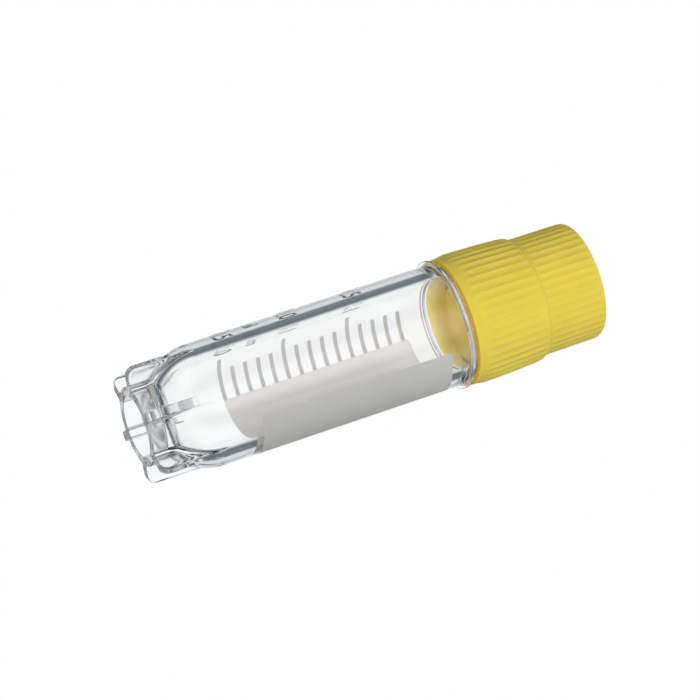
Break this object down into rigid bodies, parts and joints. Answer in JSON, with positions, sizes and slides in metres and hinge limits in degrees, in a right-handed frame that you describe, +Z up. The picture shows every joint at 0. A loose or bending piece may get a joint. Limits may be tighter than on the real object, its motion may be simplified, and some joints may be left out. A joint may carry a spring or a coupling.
{
  "type": "cryovial",
  "caption": "Clear cryogenic storage vial that stands on a star foot, with a printed writing patch, a volume scale and a ribbed screw cap over a sealing ring.",
  "frame": {"origin": "centre of the star foot's lower face, which is the middle of the bottom of the bounding box", "axes": "+Z up the vial's axis from the foot to the cap; the middle of the writing patch faces between +X and +Y"},
  "size_m": [0.0134, 0.0134, 0.0488],
  "materials": {
    "clear_polypropylene": "clear, smooth as moulded",
    "print": "matt white-grey print that takes a pencil",
    "silicone": "translucent white silicone",
    "yellow_cap": "satin moulded polypropylene, opaque yellow"
  },
  "bodies": {
    "vial": {"tube": "clear_polypropylene", "writing_patch": "print", "graduation": "print"},
    "seal": {"seal_ring": "silicone"},
    "cap": {"cap": "yellow_cap"}
  },
  "joints": [
    {"name": "cap_lift", "type": "slide", "parent": "vial", "child": "seal", "axis": [0, 0, 1], "range_m": [0, 0.01]},
    {"name": "cap_turn", "type": "hinge", "parent": "seal", "child": "cap", "pos_m": [0, 0, 0.0341], "axis": [0, 0, 1], "range_deg": [0, 1201]}
  ],
  "couplings": [
    {"joint": "cap_turn", "follows": "cap_lift", "rad_per_m": 2094.4}
  ]
}
